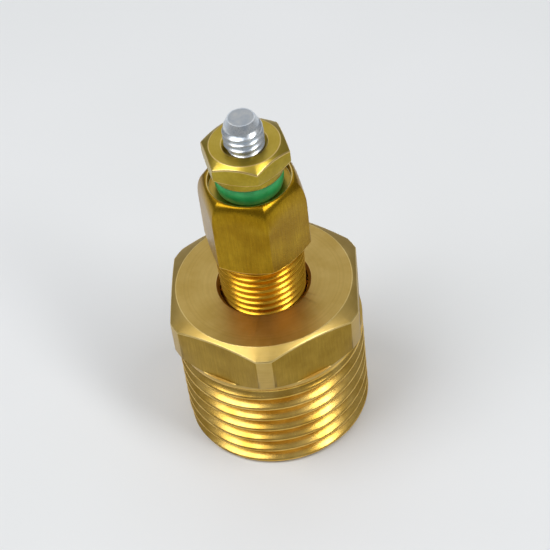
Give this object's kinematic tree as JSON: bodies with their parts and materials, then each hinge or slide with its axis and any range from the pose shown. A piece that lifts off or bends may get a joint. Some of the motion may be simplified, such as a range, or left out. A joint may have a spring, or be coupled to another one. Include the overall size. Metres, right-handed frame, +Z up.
{
  "type": "automatic air vent",
  "caption": "Hygroscopic automatic air vent: a small hexagon body with a seal ring, nut and threaded stem, screwed into a hexagon reducing bushing with a male pipe thread.",
  "frame": {"origin": "centre of the bushing's lower end face, on the common axis", "axes": "+Z up along the common axis, from the pipe thread to the stem's tip; -Y is the side the first corner of the large hexagon faces"},
  "size_m": [0.0212, 0.0226, 0.0426],
  "materials": {
    "bushing_brass": "satin, turned",
    "body_brass": "satin, drawn bar",
    "nut_brass": "satin, turned",
    "zinc_steel": "bright zinc plate",
    "spring_steel": "drawn wire",
    "washer_steel": "stamped",
    "seal_rubber": "smooth elastomer",
    "disc_fibre": "pressed cellulose fibre"
  },
  "bodies": {
    "vent": {"hex_bushing": "bushing_brass", "vent_body": "body_brass", "stack_washer": "washer_steel", "fibre_disc_1": "disc_fibre", "fibre_disc_2": "disc_fibre", "fibre_disc_3": "disc_fibre", "fibre_disc_4": "disc_fibre", "fibre_disc_5": "disc_fibre", "fibre_disc_6": "disc_fibre", "fibre_disc_7": "disc_fibre", "fibre_disc_8": "disc_fibre", "return_spring": "spring_steel", "inlet_screen": "washer_steel", "screen_ring": "spring_steel"},
    "stem": {"valve_stem": "zinc_steel", "spring_seat": "washer_steel", "foot_washer": "washer_steel", "foot_nut": "nut_brass"},
    "seal": {"seal_ring": "seal_rubber"},
    "nut": {"adjusting_nut": "nut_brass"}
  },
  "joints": [
    {"name": "stem_lift", "type": "slide", "parent": "vent", "child": "stem", "axis": [0, 0, 1], "range_m": [0, 0.0008], "deforming": ["return_spring", "fibre_disc_1", "fibre_disc_2", "fibre_disc_3", "fibre_disc_4", "fibre_disc_5", "fibre_disc_6", "fibre_disc_7", "fibre_disc_8"]},
    {"name": "seal_lift", "type": "slide", "parent": "stem", "child": "seal", "axis": [0, 0, 1], "range_m": [0, 0.00222]},
    {"name": "nut_turn", "type": "hinge", "parent": "seal", "child": "nut", "pos_m": [0, 0, 0.038], "axis": [0, 0, 1], "range_deg": [0, 1080]}
  ],
  "couplings": [
    {"joint": "nut_turn", "follows": "seal_lift", "rad_per_m": 8490.8}
  ]
}
